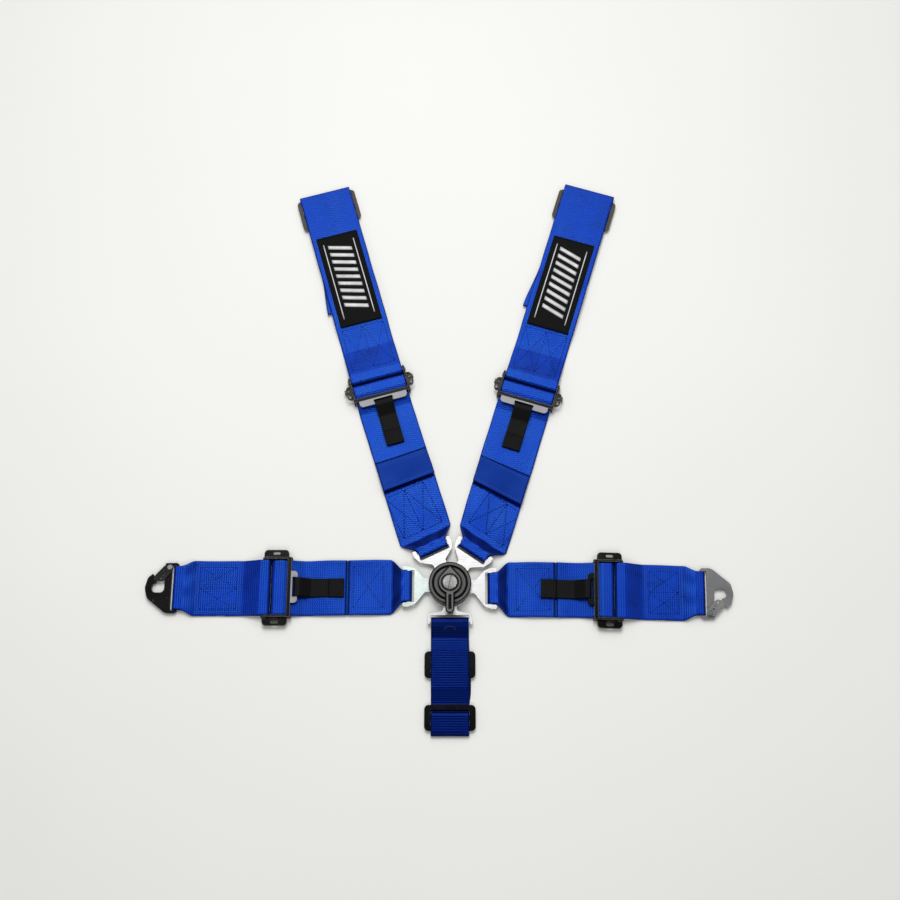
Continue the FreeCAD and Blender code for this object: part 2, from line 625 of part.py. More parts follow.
def nodes():
    made = {
        "buckle_base": buckle_base(), "buckle_cover": buckle_cover(), "buckle_dial": buckle_dial(),
        "release_lever": release_lever(), "pivot_ring": pivot_ring(), "pivot_screw": pivot_screw(),
        "lever_tail_pad": lever_tail_pad(), "strap_crotch": crotch_strap(),
    }
    for name in TONGUES:
        made["tongue_" + name] = tongue(name)
    for name in ADJUSTERS:
        made["strap_lower_" + name] = lower_strap(name)
        made["adjuster_frame_" + name] = adjuster_frame(name)
        made["lock_bar_" + name] = lock_bar(name)
        made["rear_bar_" + name] = rear_bar(name)
        made["lever_plate_" + name] = lever_plate(name)
        made["pull_tab_" + name] = pull_tab(name)
    for name in SHOULDER_REACH:
        made["strap_upper_" + name] = shoulder_anchor(name)
        made["patch_" + name] = shoulder_patch(name)
    for name in LAP_REACH:
        made["strap_upper_" + name] = lap_anchor(name)
        made["snap_hook_" + name] = snap_hook(name)
        made["hook_gate_" + name] = hook_gate(name)
        made["hook_rivet_" + name] = hook_rivet(name)
    for name in SLIDES:
        made[name] = slide(name)
    return made


def main():
    os.makedirs("parts", exist_ok=True)
    for name, shape in nodes().items():
        solids = len(shape.Solids)
        print(f"{name:32s} solids {solids} valid {shape.isValid()} volume {shape.Volume:10.1f} mm3")
        shape.exportStep(f"parts/{name}.step")


main()
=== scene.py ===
"""Looks of the five-point racing harness: woven straps, stitching, finishes, light and camera.

Lengths inside this script are millimetres until a mesh is made. Each arm has two frames on the
surface, taken from the joints: one at its tongue's bar and one in its adjuster. In both, x runs
outward along the webbing and y across it.
"""
import json
import math
import random

import bpy
import numpy as np
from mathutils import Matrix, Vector
from mathutils.bvhtree import BVHTree


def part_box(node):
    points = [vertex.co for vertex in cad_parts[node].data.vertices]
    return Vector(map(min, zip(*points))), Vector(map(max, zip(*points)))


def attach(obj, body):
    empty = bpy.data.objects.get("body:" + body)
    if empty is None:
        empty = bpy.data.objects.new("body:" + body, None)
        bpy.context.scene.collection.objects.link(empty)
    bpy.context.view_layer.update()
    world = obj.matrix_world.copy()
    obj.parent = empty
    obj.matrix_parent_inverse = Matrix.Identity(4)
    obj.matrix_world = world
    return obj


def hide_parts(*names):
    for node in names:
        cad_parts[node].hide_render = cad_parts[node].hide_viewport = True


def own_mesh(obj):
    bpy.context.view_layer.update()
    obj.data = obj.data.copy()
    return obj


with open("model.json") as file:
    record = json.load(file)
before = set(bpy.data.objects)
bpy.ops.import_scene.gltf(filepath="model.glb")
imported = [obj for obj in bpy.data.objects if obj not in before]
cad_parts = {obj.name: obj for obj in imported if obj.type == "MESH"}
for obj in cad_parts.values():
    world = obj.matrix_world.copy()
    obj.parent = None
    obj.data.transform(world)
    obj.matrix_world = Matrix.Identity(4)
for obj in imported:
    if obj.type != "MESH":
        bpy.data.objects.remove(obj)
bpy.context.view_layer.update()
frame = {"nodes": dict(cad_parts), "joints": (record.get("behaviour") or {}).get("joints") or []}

random.seed(11)

MM = 0.001
WEB = 76.2                   # 3 inch webbing: shoulders and laps
WEB_CROTCH = 50.8            # 2 inch webbing
PLY = 1.5                    # thickness of webbing
LOW = 0.75                   # height of the middle of webbing that lies on the surface
HIGH = 2.55                  # the same for the layer above it
TAIL_Z = 3.05                # a tail that lies under the top layer
OVER_Z = 7.15                # the top layer, where it passes over a slide
BEND = 6.0                   # radius of a gentle bend
LOOP_R = 3.75                # webbing around a tongue's or hook's bar
LOCK_LOOP_R = 4.55           # webbing around a lock bar
REAR_LOOP_R = 4.05           # webbing around a rear bar
FOLD_R = 2.05                # the fold at a shoulder strap's far end
HEM_R = 0.85                 # centreline radius of webbing folded flat on itself
SLACK = 1.3                  # how far the webbing stands off the outer side of an adjuster's bars
REAR_X = 21.0                # the rear bar, in an adjuster's frame
STRAP_JOIN = -34.0           # a lower strap's end, in an adjuster's frame
LEVER_BAR_X = -20.5          # the lip's bar, which holds the pull tab, in an adjuster's frame
LEVER_BAR_Z = 12.0
TAPER = (7.0, 26.0)          # webbing is narrow up to the first and full width from the second
LOOP_W = 42.0                # width of webbing gathered at a tongue's bar
HOOK_LOOP_W = 60.0           # width of webbing gathered at a hook's bar
TAB_W = 25.4                 # 1 inch webbing
TAB_PLY = 1.2
TAB_LEN = 64.0
TAB_Z = 4.6                  # height of the middle of the tab's lower layer

# The sewn flap of a lower strap: its share of the strap, its end's rise and its plain folded end.
FLAP = {"shoulder_left": 0.41, "shoulder_right": 0.36, "lap_left": 0.52, "lap_right": 0.68}
FLAP_RISE = {"shoulder_left": 3.6, "shoulder_right": 3.6, "lap_left": 0.3, "lap_right": 0.3}
FLAP_HEM = {"shoulder_left": 42.0, "shoulder_right": 42.0, "lap_left": 0.0, "lap_right": 0.0}
SHOULDERS = ("shoulder_left", "shoulder_right")
LAPS = ("lap_left", "lap_right")
JOINTS = {j["name"]: j for j in frame["joints"]}


# ---------------------------------------------------------------- frames and paths

class Arm:
    """A frame on the surface, with a hinge's axis at x = at."""

    def __init__(self, joint, at=0.0):
        place = Vector(JOINTS[joint]["pos_m"]) / MM
        self.z = place.z
        self.y = -Vector(JOINTS[joint]["axis"])
        self.x = Vector((self.y.y, -self.y.x, 0))
        self.o = Vector((place.x, place.y, 0)) - self.x * at

    def at(self, x, y, z):
        return self.o + self.x * x + self.y * y + Vector((0, 0, z))

    def plan(self, x, y):
        return self.at(x, y, 0)

    def extent(self, node):
        """Lowest and highest local x and y of a CAD node."""
        points = [v.co / MM - self.o for v in frame["nodes"][node].data.vertices]
        xs = [p.dot(self.x) for p in points]
        ys = [p.dot(self.y) for p in points]
        return min(xs), max(xs), min(ys), max(ys)


def bar_place(arm, joint):
    """A hinge's bar in an arm's frame: its x and its height."""
    place = Vector(JOINTS[joint]["pos_m"]) / MM
    return (place - arm.o).dot(arm.x), place.z


TONGUE = {n: Arm("tongue_hinge_" + n) for n in SHOULDERS + LAPS + ("crotch",)}
ADJUSTER = {n: Arm("strap_hinge_" + n, REAR_X) for n in SHOULDERS + LAPS}


def smooth(t):
    t = min(1.0, max(0.0, t))
    return t * t * (3 - 2 * t)


def rounded(path, step=2.5, turn=math.radians(11)):
    """Points along a path of (x, z, corner radius) points."""
    points = [Vector(p[:2]) for p in path]
    out = [points[0]]

    def run(to):
        gap = (to - out[-1]).length
        if gap > 1e-4:
            start, n = out[-1], max(1, math.ceil(gap / step))
            out.extend(start.lerp(to, i / n) for i in range(1, n + 1))

    for i in range(1, len(points) - 1):
        u = (points[i - 1] - points[i]).normalized()
        w = (points[i + 1] - points[i]).normalized()
        radius = path[i][2]
        if radius <= 0 or u.dot(w) < -0.99999:
            run(points[i])
            continue
        half = u.angle(w) / 2
        centre = points[i] + (u + w).normalized() * (radius / math.sin(half))
        start = points[i] + u * (radius / math.tan(half)) - centre
        stop = points[i] + w * (radius / math.tan(half)) - centre
        run(centre + start)
        n = max(2, math.ceil((math.pi - 2 * half) / turn))
        whole = math.pi - 2 * half
        for k in range(1, n + 1):
            a = k / n
            out.append(centre + (start * math.sin((1 - a) * whole) + stop * math.sin(a * whole))
                       / math.sin(whole))
    run(points[-1])
    return out


def hairpin(x, z, radius, outward, slack=0.0):
    """Two path corners that take webbing around a bar, from above to below, with slack beyond it."""
    edge = x + outward * (radius + slack)
    return [(edge, z + radius, radius), (edge, z - radius, radius)]


class Row:
    """One cross line of a strap: its middle, the direction across, half width and looseness."""

    def __init__(self, p, across, half, loose=0.0, gather=0.0):
        self.p, self.across, self.half, self.loose, self.gather = p, across, half, loose, gather


def along(arm, path, half, loose=lambda x: 0.0, gather=lambda x: 0.0, drift=lambda x: 0.0):
    """Rows along a path in an arm's frame. half is a width, or a function of x."""
    width = half if callable(half) else lambda x: half
    return [Row(arm.at(x, drift(x), z), arm.y, width(x), loose(x), gather(x)) for x, z in rounded(path)]


def between(start, end, path, half, loose):
    """Rows along a path of (distance, z, radius) between two arms' cross lines."""
    a, b = start[0].at(start[1], 0, 0), end[0].at(end[1], 0, 0)
    length = (b - a).length
    rows = []
    for d, z in rounded(path, 4.0):
        s = d / length
        across = start[0].y.lerp(end[0].y, s).normalized()
        rows.append(Row(a.lerp(b, s) + Vector((0, 0, z)), across, half, loose * smooth(d / 32)
                        * smooth((length - d) / 32)))
    return rows


def drape(p):
    """How far slack webbing lies off the surface at a place, the same for every layer there."""
    waves = math.sin(p.x * 0.047 + p.y * 0.021 + 1.1) * math.cos(p.y * 0.039 - p.x * 0.018 + 0.3)
    fine = math.sin(p.x * 0.11 - p.y * 0.083)
    return 0.5 * (1 + waves) + 0.09 * (1 + fine)


# ---------------------------------------------------------------- meshes

COLUMNS = [-1, -0.985, -0.955, -0.92, -0.86] + [i / 10 for i in range(-8, 9)] + [0.86, 0.92, 0.955, 0.985, 1]


def thickness(t):
    """Thickness of webbing across it, as a share: rounded selvedges with a slight bead."""
    a = abs(t)
    bead = 0.10 * math.exp(-((a - 0.93) / 0.03) ** 2)
    return 0.32 + 0.68 * math.sqrt(max(0.0, 1 - max(0.0, (a - 0.955) / 0.045) ** 2)) + bead


def new_object(name, verts, faces, material, uvs=None, flat_from=None):
    """A mesh object in metres. uvs holds one (u, v) for each corner, in decimetres of cloth."""
    mesh = bpy.data.meshes.new(name)
    mesh.from_pydata([Vector(v) * MM for v in verts], [], faces)
    if uvs:
        layer = mesh.uv_layers.new(name="UVMap")
        layer.data.foreach_set("uv", np.array(uvs, np.float32).ravel())
    mesh.polygons.foreach_set("use_smooth", [flat_from is None or i < flat_from for i in range(len(faces))])
    mesh.materials.append(material)
    mesh.validate()
    obj = bpy.data.objects.new(name, mesh)
    bpy.context.scene.collection.objects.link(obj)
    return obj


def ribbon(name, rows, ply, material, wobble=0.25, band=0.0, plain=None):
    """A closed strip of webbing through its rows, plain over its last band. Returns it and its length."""
    n, count = len(COLUMNS), len(rows)
    verts, faces, uvs = [], [], []
    phase = random.uniform(0, 6)
    travelled = [0.0]
    for a, b in zip(rows, rows[1:]):
        travelled.append(travelled[-1] + (b.p - a.p).length)
    for i, row in enumerate(rows):
        tangent = (rows[min(i + 1, count - 1)].p - rows[max(i - 1, 0)].p).normalized()
        normal = row.across.cross(tangent).normalized()
        s = travelled[i]
        half = row.half + wobble * math.sin(s * 0.083 + phase) * math.sin(s * 0.031)
        for face in (1, -1):
            for t in (COLUMNS if face == 1 else reversed(COLUMNS)):
                p = row.p + row.across * (t * half)
                up = row.loose * (drape(p) + 0.35 * t * t) + row.gather * 0.5 * (1 + math.cos(7.5 * t + 0.6))
                verts.append(p + Vector((0, 0, up)) + normal * (face * 0.5 * ply * thickness(t)))
    for i in range(count - 1):
        for k in range(2 * n):
            m = (k + 1) % (2 * n)
            faces.append((i * 2 * n + k, i * 2 * n + m, (i + 1) * 2 * n + m, (i + 1) * 2 * n + k))
            for r, c in ((i, k), (i, m), (i + 1, m), (i + 1, k)):
                t = COLUMNS[c] if c < n else COLUMNS[2 * n - 1 - c]
                uvs.append((t * rows[r].half / 100, travelled[r] / 100))
    flat_from = len(faces)
    for base, flip in ((0, True), ((count - 1) * 2 * n, False)):
        for k in range(n - 1):
            quad = (base + k, base + k + 1, base + 2 * n - 2 - k, base + 2 * n - 1 - k)
            faces.append(tuple(reversed(quad)) if flip else quad)
            uvs += [(COLUMNS[k] * 0.38, 0)] * 4
    strip = new_object(name, verts, faces, material, uvs, flat_from)
    if plain:
        strip.data.materials.append(plain)
        for i in range(count - 1):
            if travelled[i] > travelled[-1] - band:
                for k in range(2 * n):
                    strip.data.polygons[i * 2 * n + k].material_index = 1
    return strip, travelled[-1]


def surface(*objects):
    """A function that gives the topmost point of some objects over a place, in millimetres."""
    verts, faces = [], []
    for obj in objects:
        base = len(verts)
        verts += [v.co / MM for v in obj.data.vertices]
        faces += [[base + i for i in f.vertices] for f in obj.data.polygons]
    tree = BVHTree.FromPolygons(verts, faces)

    def top(p):
        hit = tree.ray_cast(Vector((p.x, p.y, 80)), Vector((0, 0, -1)))
        return hit[0]
    return top


def stitching(name, lines, top, material, long=3.2, gap=1.1, wide=0.42, high=0.3):
    """Thread along plan lines, each stitch a small lozenge that lies on the cloth below it."""
    verts, faces = [], []
    for line in lines:
        for a, b in zip(line, line[1:]):
            span = (b - a).length
            n = max(1, round(span / (long + gap)))
            for i in range(n):
                middle = (i + 0.5) / n
                reach = min(0.5 * long, 0.5 * span / n * 0.9) / span
                ends = [top(a.lerp(b, middle + k * reach)) for k in (-1, 1)]
                if None in ends or abs(ends[0].z - ends[1].z) > 1.5:
                    continue
                p, q = ends
                d = (q - p).normalized()
                w = d.cross(Vector((0, 0, 1))).normalized() * wide * random.uniform(0.9, 1.1)
                up = Vector((0, 0, high))
                base = len(verts)
                p1, q1 = p.lerp(q, 0.2), p.lerp(q, 0.8)
                verts += [p - up * 0.3, q - up * 0.3]
                for c in (p1, q1):
                    verts += [c + w, c + up, c - w, c - up * 0.4]
                for k in range(4):
                    m = (k + 1) % 4
                    faces.append((base + 2 + k, base + 2 + m, base + 6 + m, base + 6 + k))
                    faces.append((base, base + 2 + m, base + 2 + k))
                    faces.append((base + 1, base + 6 + k, base + 6 + m))
    return new_object(name, verts, faces, material)


def boxed(place, x0, x1, half, crosses=1, centre=False):
    """A sewn box with one or two crosses in it, as plan lines. place turns x, y into a point."""
    lines = [[place(x0, -half), place(x1, -half), place(x1, half), place(x0, half), place(x0, -half)]]
    for k in range(crosses):
        y0, y1 = -half + 2 * half * k / crosses, -half + 2 * half * (k + 1) / crosses
        lines += [[place(x0, y0), place(x1, y1)], [place(x0, y1), place(x1, y0)]]
        if centre and k:
            lines.append([place(x0, y0), place(x1, y0)])
    return lines


def zigzag(place, x, half, reach=1.6, pitch=1.9):
    """A bar tack across the webbing."""
    count = int(2 * half / pitch)
    return [[place(x + (reach if i % 2 else -reach), -half + i * pitch) for i in range(count + 1)]]


# ---------------------------------------------------------------- materials

class Shader:
    """A node material: a Principled shader and short ways to add nodes before it."""

    def __init__(self, name, **values):
        self.material = bpy.data.materials.new(name)
        self.material.use_nodes = True
        self.tree = self.material.node_tree
        self.out = self.tree.nodes["Principled BSDF"]
        for socket, value in values.items():
            self.out.inputs[socket.replace("_", " ")].default_value = value

    def add(self, kind, inputs=(), **settings):
        node = self.tree.nodes.new("ShaderNode" + kind)
        for key, value in settings.items():
            setattr(node, key, value)
        for socket, value in dict(inputs).items():
            self.feed(node.inputs[socket], value)
        return node

    def feed(self, socket, value):
        if isinstance(value, bpy.types.NodeSocket):
            self.tree.links.new(value, socket)
        else:
            socket.default_value = value

    def math(self, operation, a, b=0.0):
        return self.add("Math", {0: a, 1: b}, operation=operation).outputs[0]

    def noise(self, scale, detail=3.0, vector=None, roughness=0.5):
        inputs = {"Scale": scale, "Detail": detail, "Roughness": roughness}
        if vector is not None:
            inputs["Vector"] = vector
        return self.add("TexNoise", inputs).outputs["Fac"]

    def place(self, stretch=(1, 1, 1), turn=0.0):
        """Object coordinates in metres, stretched and turned about z."""
        coordinates = self.add("TexCoord").outputs["Object"]
        settings = {"Vector": coordinates, "Scale": stretch, "Rotation": (0, 0, turn)}
        return self.add("Mapping", settings).outputs[0]

    def span(self, value, low, high, to_low=0.0, to_high=1.0):
        return self.add("MapRange", {"Value": value, "From Min": low, "From Max": high, "To Min": to_low,
                                     "To Max": to_high}).outputs[0]

    def blend(self, factor, a, b):
        node = self.add("Mix", data_type="RGBA")
        for socket, value in ((0, factor), (6, a), (7, b)):
            self.feed(node.inputs[socket], value)
        return node.outputs[2]

    def bump(self, height, strength, distance, normal=None):
        inputs = {"Height": height, "Strength": strength, "Distance": distance}
        if normal is not None:
            inputs["Normal"] = normal
        return self.add("Bump", inputs).outputs[0]

    def edge(self, radius=0.0005):
        return self.add("Bevel", {"Radius": radius}, samples=4).outputs[0]

    def edge_light_and_shade(self, radius=0.0006):
        """1 at the edges of a solid and 0 on its flat sides: where highlights and shade are painted along
        edges.
        """
        flat = self.add("NewGeometry").outputs["True Normal"]
        turn = self.add("VectorMath", {0: self.edge(radius), 1: flat}, operation="DOT_PRODUCT")
        return self.span(turn.outputs["Value"], 0.9995, 0.97)

    def slope(self, start, full):
        """Mask of painted shade on slopes: 0 on what faces up, 1 where the normal's height is below full."""
        normal = self.add("SeparateXYZ", {0: self.add("NewGeometry").outputs["Normal"]}).outputs[2]
        return self.span(normal, start, full)

    def ring(self, radius, wide):
        """1 on a circle about the buckle's axis, 0 beyond a width each side of it."""
        x, y, _ = JOINTS["handle_turn"]["pos_m"]
        plan = self.add("VectorMath", {0: self.place(), 1: (1, 1, 0)}, operation="MULTIPLY").outputs[0]
        reach = self.add("VectorMath", {0: plan, 1: (x, y, 0)}, operation="DISTANCE").outputs["Value"]
        off = self.math("ABSOLUTE", self.math("SUBTRACT", reach, radius))
        return self.span(off, wide, wide * 0.5)

    def crevice_shade(self, reach, deep=0.35):
        """Mask of painted shade: 1 deep in creases and corners and 0 in the open, from ambient occlusion."""
        openness = self.add("AmbientOcclusion", {"Distance": reach}, samples=8).outputs["AO"]
        return self.span(openness, 0.95, deep)

    def finish(self, **sockets):
        for socket, value in sockets.items():
            self.feed(self.out.inputs[socket.replace("_", " ")], value)
        return self.material


def rgba(r, g, b, scale=1.0):
    return (r * scale, g * scale, b * scale, 1.0)


def webbing(name, dark, mid, light, rib, warp, slant, glint, relief=0.35, rough=0.31, gloss=1.0):
    """Woven webbing: ribs across it, in chevrons where slant isn't 0, and warp yarns along it, with painted
    shade in creases and on slopes.
    """
    s = Shader(name, Specular_IOR_Level=gloss, Specular_Tint=rgba(*glint))
    uv = s.add("SeparateXYZ", {0: s.add("UVMap", uv_map="UVMap").outputs[0]})
    u, v = (s.math("MULTIPLY", uv.outputs[i], 100.0) for i in (0, 1))
    chevron = s.math("PINGPONG", u, 19.0)
    across = s.math("ADD", v, s.math("MULTIPLY", chevron, slant))
    yarn_number = s.math("FLOOR", s.math("DIVIDE", u, warp))
    stagger = s.math("MULTIPLY", s.math("PINGPONG", yarn_number, 1.0), 0.22 * rib)
    ribs = s.math("SINE", s.math("MULTIPLY", s.math("ADD", across, stagger), 2 * math.pi / rib))
    yarns = s.math("ABSOLUTE", s.math("SINE", s.math("MULTIPLY", u, math.pi / warp)))
    height = s.math("ADD", s.math("MULTIPLY", ribs, 0.5), s.math("MULTIPLY", yarns, 0.45))
    spread = s.noise(38.0, 4.0, s.place())
    fibre = s.noise(1.0, 2.0, s.place((900, 900, 900)))
    shade = s.math("ADD", s.math("MULTIPLY", height, 0.50),
                   s.math("ADD", s.math("MULTIPLY", spread, 0.45), s.math("MULTIPLY", fibre, 0.14)))
    ramp = s.add("ValToRGB", {0: s.span(shade, -0.02, 0.98)})
    ramp.color_ramp.elements[0].color, ramp.color_ramp.elements[1].color = rgba(*dark), rgba(*light)
    middle = ramp.color_ramp.elements.new(0.5)
    middle.color = rgba(*mid)
    # Painted shade: the colour darkens towards a third of the dark tone in creases and corners, and where
    # the cloth slopes away from facing up.
    painted_shade = s.math("MAXIMUM", s.math("MULTIPLY", s.crevice_shade(0.007), 0.85),
                   s.math("MULTIPLY", s.slope(0.985, 0.80), 0.75))
    return s.finish(Base_Color=s.blend(painted_shade, ramp.outputs[0], rgba(*dark, scale=0.3)),
                    Roughness=s.span(spread, 0.3, 0.7, rough - 0.05, rough + 0.08),
                    Normal=s.bump(height, relief, 0.0004))


def thread(name, color):
    s = Shader(name, Specular_IOR_Level=0.1)
    twist = s.add("TexWave", {"Vector": s.place((1, 1, 1), 0.7), "Scale": 900.0, "Distortion": 0.6})
    tint = s.blend(s.math("MULTIPLY", twist.outputs["Fac"], 0.6), rgba(*color, scale=0.6), rgba(*color))
    return s.finish(Base_Color=tint, Roughness=s.span(twist.outputs["Fac"], 0, 1, 0.45, 0.6))


def painted(name, color, rough=0.32, wear=0.0, wear_and_edge_light_color=(0.5, 0.5, 0.5), grain=0.12, gloss=0.3, edge_light_and_shade=0.0,
            edge=0.0006, turned=()):
    """Coated metal with a fine grain and uneven gloss.

    Wear rubs spots to a worn color, which is real wear. The edges are painted towards that color too:
    a painted highlight where it is lighter and painted shade where it is darker. Corners get painted
    shade in black. turned holds the radius and width of grooves cut about the buckle's axis, in metres;
    the grooves are painted black as painted shade.
    """
    s = Shader(name, Specular_IOR_Level=gloss)
    cloud = s.noise(60.0, 5.0, s.place())
    fine = s.noise(2600.0, 2.0, s.place())
    scuff = s.noise(300.0, 6.0, s.place((1, 0.35, 1), 0.6), 0.65)
    rubbed = s.math("MULTIPLY", s.span(scuff, 0.62, 0.72), wear)
    black = rgba(0.001, 0.001, 0.001)
    tint = s.blend(s.span(cloud, 0.3, 0.7), rgba(*color, scale=0.78), rgba(*color, scale=1.15))
    # Painted highlight or painted shade along the edges, towards the worn color.
    tint = s.blend(s.math("MULTIPLY", s.edge_light_and_shade(edge), edge_light_and_shade), tint, rgba(*wear_and_edge_light_color))
    # Painted shade: corners and creases darken to black; the rubbed spots are real wear.
    tint = s.blend(s.crevice_shade(0.0045, 0.5), s.blend(rubbed, tint, rgba(*wear_and_edge_light_color)), black)
    normal = s.bump(fine, grain, 0.00012, s.edge())
    # Painted shade: each turned groove is coloured black as well as cut in by a bump.
    for radius, wide in turned:
        cut = s.ring(radius, wide)
        tint = s.blend(cut, tint, black)
        normal = s.bump(cut, -1.0, 0.0005, normal)
    uneven = s.span(cloud, 0.3, 0.7, rough - 0.06, rough + 0.1)
    return s.finish(Base_Color=tint, Normal=normal,
                    Roughness=s.math("ADD", uneven, s.math("MULTIPLY", rubbed, 0.15)))


def brushed(name, color, rough=0.25, turn=0.0, stretch=60.0, scratch=0.25, dull=0.75, metal=0.95):
    """Bare or plated metal with a brushed grain and fine scratches, with painted shade in its corners."""
    s = Shader(name, Metallic=metal)
    grain = s.noise(40.0, 3.0, s.place((1, stretch, 1), turn))
    cloud = s.noise(45.0, 4.0, s.place())
    lines = s.add("TexVoronoi", {"Vector": s.place((10, 340, 10), turn + 0.5), "Scale": 6.0},
                  feature="DISTANCE_TO_EDGE")
    marks = s.span(lines.outputs["Distance"], 0.0, 0.03, 1.0, 0.0)
    tint = s.blend(s.span(cloud, 0.3, 0.7), rgba(*color, scale=dull), rgba(*color))
    # Painted shade: corners and creases darken towards near black.
    tint = s.blend(s.math("MULTIPLY", s.crevice_shade(0.003), 0.4), tint, rgba(0.01, 0.01, 0.01))
    height = s.math("SUBTRACT", s.math("MULTIPLY", grain, 0.5), s.math("MULTIPLY", marks, scratch))
    return s.finish(Base_Color=tint, Roughness=s.span(grain, 0.3, 0.7, rough - 0.05, rough + 0.12),
                    Normal=s.bump(height, 0.12, 0.0002, s.edge()))


DARK, MID, LIGHT = (0.0002, 0.002, 0.035), (0.0012, 0.014, 0.27), (0.010, 0.080, 0.92)
GLINT = (0.05, 0.24, 1.0)
BLUE = {
    "shoulder": webbing("webbing_shoulder", DARK, MID, LIGHT, 3.1, 2.2, 0.45, GLINT),
    "lap": webbing("webbing_lap", DARK, MID, LIGHT, 3.0, 2.4, 0.0, GLINT),
    "crotch": webbing("webbing_crotch", (0.0001, 0.0005, 0.012), (0.0003, 0.0015, 0.045),
                      (0.001, 0.008, 0.15), 3.3, 2.0, 0.0, (0.03, 0.14, 1.0), rough=0.20, gloss=0.42),
}
HEMMED = webbing("webbing_hem", (0.0004, 0.004, 0.10), (0.0008, 0.009, 0.17), (0.002, 0.016, 0.26),
                 1.6, 1.2, 0.0, GLINT, 0.1, gloss=0.45)
TAB = webbing("webbing_tab", (0.0012, 0.0012, 0.0012), (0.003, 0.003, 0.003), (0.009, 0.008, 0.0075),
              2.6, 1.1, 0.0, (1, 1, 1), 0.5, 0.46, 0.10)
PATCH = webbing("patch_cloth", (0.001, 0.001, 0.001), (0.003, 0.003, 0.003), (0.008, 0.008, 0.009),
                0.7, 0.7, 0.0, (1, 1, 1), 0.4, 0.5, 0.10)
PRINT = painted("patch_print", (0.78, 0.78, 0.78), 0.5, grain=0.4)
# Painted shade: near-black colour of the lines around the lever and the dial.
SHADE_LINE = painted("painted_shade_line", (0.0015, 0.0015, 0.0015), 0.45, gloss=0.05)
BLUE_THREAD = thread("thread_blue", (0.001, 0.007, 0.14))
PALE_THREAD = thread("thread_pale", (0.045, 0.12, 0.62))
BLACK_THREAD = thread("thread_black", (0.010, 0.010, 0.011))
BROWN_THREAD = thread("thread_brown", (0.10, 0.075, 0.05))
FINISHES = {                 # by the start of a CAD node's name; the longest match is used
    # Painted shade: the buckle parts' edges are painted near black.
    "buckle_base": painted("housing_paint", (0.05, 0.05, 0.05), 0.34, wear_and_edge_light_color=(0.003, 0.003, 0.003),
                           gloss=0.1, edge_light_and_shade=0.8),
    "buckle_cover": painted("cover_paint", (0.09, 0.09, 0.088), 0.34, wear_and_edge_light_color=(0.003, 0.003, 0.003),
                            gloss=0.12, edge_light_and_shade=0.9),
    "buckle_dial": painted("dial_paint", (0.10, 0.10, 0.097), 0.36, wear_and_edge_light_color=(0.002, 0.002, 0.002),
                           gloss=0.14, edge_light_and_shade=1.0, edge=0.0018, turned=((0.0217, 0.0011),)),
    "release_lever": painted("lever_paint", (0.12, 0.12, 0.115), 0.30, wear_and_edge_light_color=(0.002, 0.002, 0.002),
                             gloss=0.18, edge_light_and_shade=1.0, edge=0.0026, turned=((0.0112, 0.0016),)),
    "pivot_ring": painted("ring_black", (0.006, 0.006, 0.006), 0.28, gloss=0.1),
    "pivot_screw": brushed("screw_steel", (0.17, 0.17, 0.165), 0.26, 0.4, 50, 1.6, 0.3),
    "lever_tail_pad": painted("pad_rubber", (0.008, 0.008, 0.008), 0.6, gloss=0.1),
    "tongue_lap_left": brushed("tongue_zinc", (0.37, 0.42, 0.405), 0.34, 0.0, 50, 0.2, 0.85, 0.6),
    "tongue_": brushed("tongue_chrome", (0.42, 0.42, 0.42), 0.34, 0.3, 45, 0.2, 0.85, 0.6),
    # Painted highlights: the edges of the adjusters, the grey lips, the slides and the black hook and gate
    # are painted lighter; the black hook's worn spots are real wear.
    "adjuster_frame_": painted("adjuster_black", (0.002, 0.002, 0.002), 0.2, wear_and_edge_light_color=(0.34, 0.31, 0.27),
                               gloss=0.05, edge_light_and_shade=0.8, edge=0.0008),
    "lock_bar_": brushed("bar_steel", (0.10, 0.10, 0.10), 0.3, 0.0, 70),
    "rear_bar_": brushed("rear_bar_steel", (0.14, 0.14, 0.14), 0.28, 0.0, 70),
    "lever_plate_lap_right": painted("lip_black", (0.004, 0.004, 0.004), 0.3, gloss=0.05),
    "lever_plate_": painted("lip_grey", (0.30, 0.30, 0.32), 0.34, wear_and_edge_light_color=(0.55, 0.55, 0.56), edge_light_and_shade=0.6),
    "slide_crotch": painted("slide_black", (0.003, 0.003, 0.003), 0.25, wear_and_edge_light_color=(0.12, 0.12, 0.12),
                            gloss=0.05, edge_light_and_shade=0.4),
    "slide_": painted("slide_brown", (0.075, 0.066, 0.058), 0.42, wear_and_edge_light_color=(0.2, 0.18, 0.16), gloss=0.15,
                      edge_light_and_shade=0.3),
    "snap_hook_lap_left": painted("hook_black", (0.004, 0.004, 0.004), 0.3, wear=0.4,
                                  wear_and_edge_light_color=(0.3, 0.3, 0.3), gloss=0.08, edge_light_and_shade=0.4),
    "snap_hook_lap_right": brushed("hook_zinc", (0.20, 0.20, 0.205), 0.34, 0.2, 30, 0.5, 0.7, 0.6),
    "hook_gate_lap_left": painted("gate_black", (0.012, 0.012, 0.012), 0.3, wear_and_edge_light_color=(0.3, 0.3, 0.3),
                                  gloss=0.2, edge_light_and_shade=0.4),
    "hook_gate_lap_right": brushed("gate_zinc", (0.26, 0.26, 0.26), 0.3, 1.0, 30, 0.5, 0.7, 0.6),
    "hook_rivet_": brushed("rivet_steel", (0.25, 0.25, 0.25), 0.25, 0.0, 20),
}
for node, obj in frame["nodes"].items():
    match = [key for key in FINISHES if node.startswith(key)]
    if match:
        obj.data.materials.clear()
        obj.data.materials.append(FINISHES[max(match, key=len)])


# ---------------------------------------------------------------- pieces

def show(obj, body, replaced=None):
    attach(obj, body)
    if replaced:
        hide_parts(replaced)


